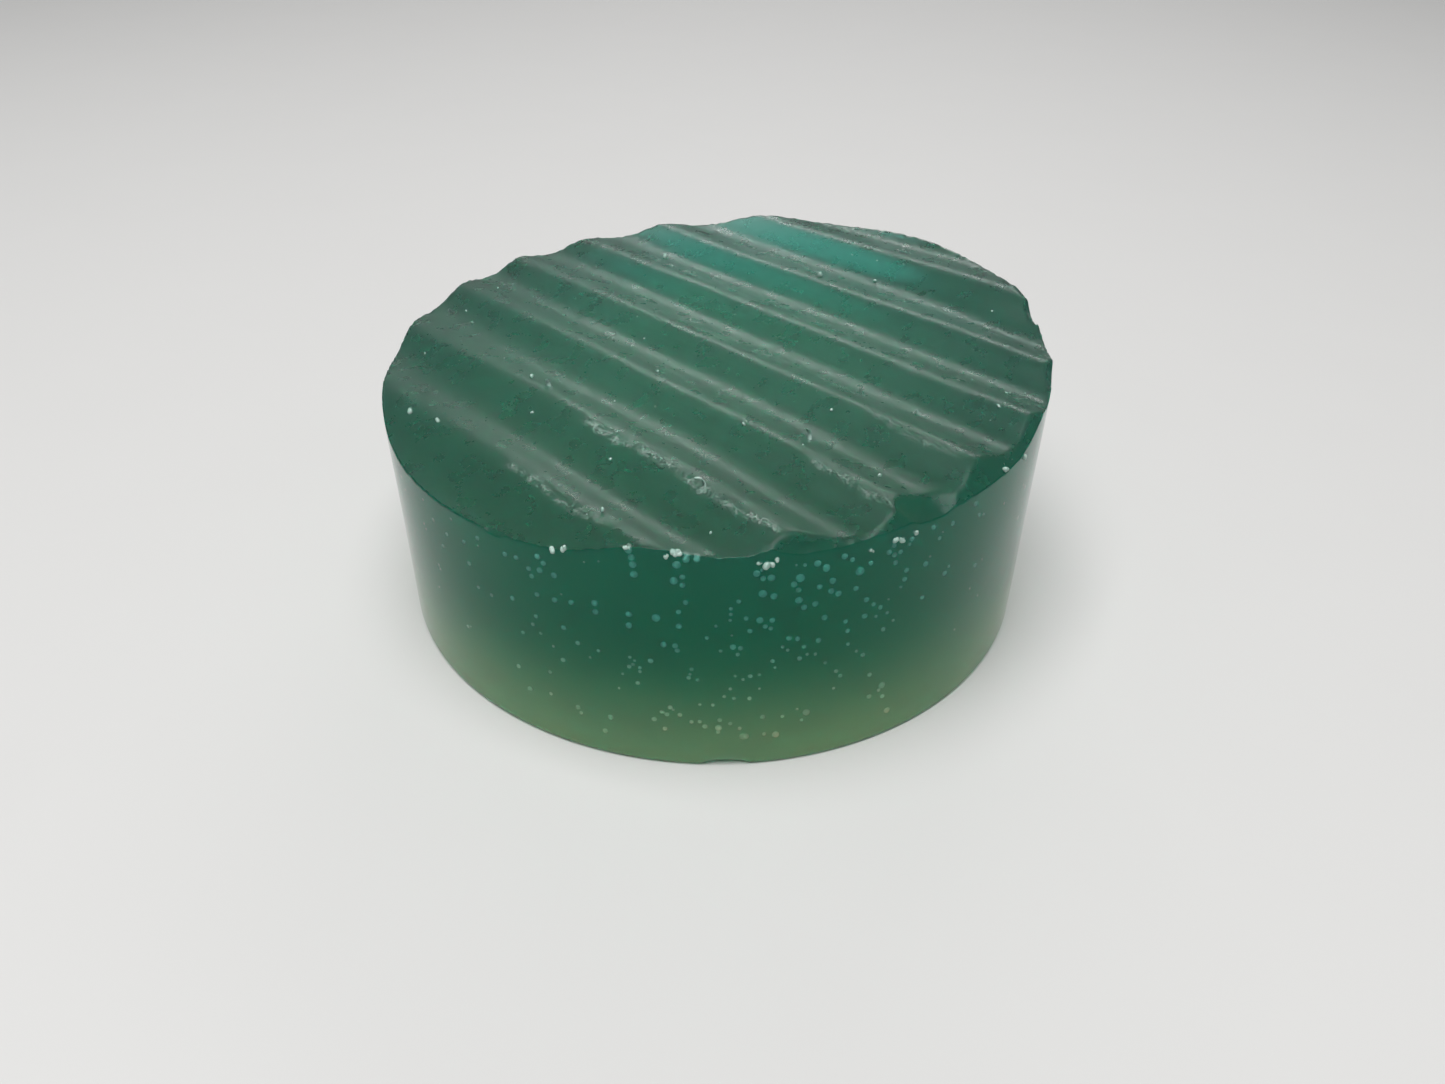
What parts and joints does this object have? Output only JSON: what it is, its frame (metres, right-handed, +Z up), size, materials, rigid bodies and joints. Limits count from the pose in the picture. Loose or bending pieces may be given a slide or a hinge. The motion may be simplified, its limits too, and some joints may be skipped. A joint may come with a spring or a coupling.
{
  "type": "shaving soap puck",
  "caption": "Round puck of translucent green shaving soap with a crinkle-cut, gently sloping top and a flat base.",
  "frame": {"origin": "centre of the flat face that the puck rests on", "axes": "+Z up along the puck's axis, -Y towards the viewer, with the cut face highest towards +X and +Y"},
  "size_m": [0.076, 0.076, 0.0327],
  "materials": {
    "soap": "translucent dark green glycerine soap: smooth satin-gloss moulded wall, waxy satin cut face",
    "loose_soap": "pale dry soap shavings and crumbs"
  },
  "bodies": {
    "root": {"soap_puck": "soap", "cut_crumbs": "loose_soap", "cut_curls": "loose_soap"}
  },
  "joints": []
}
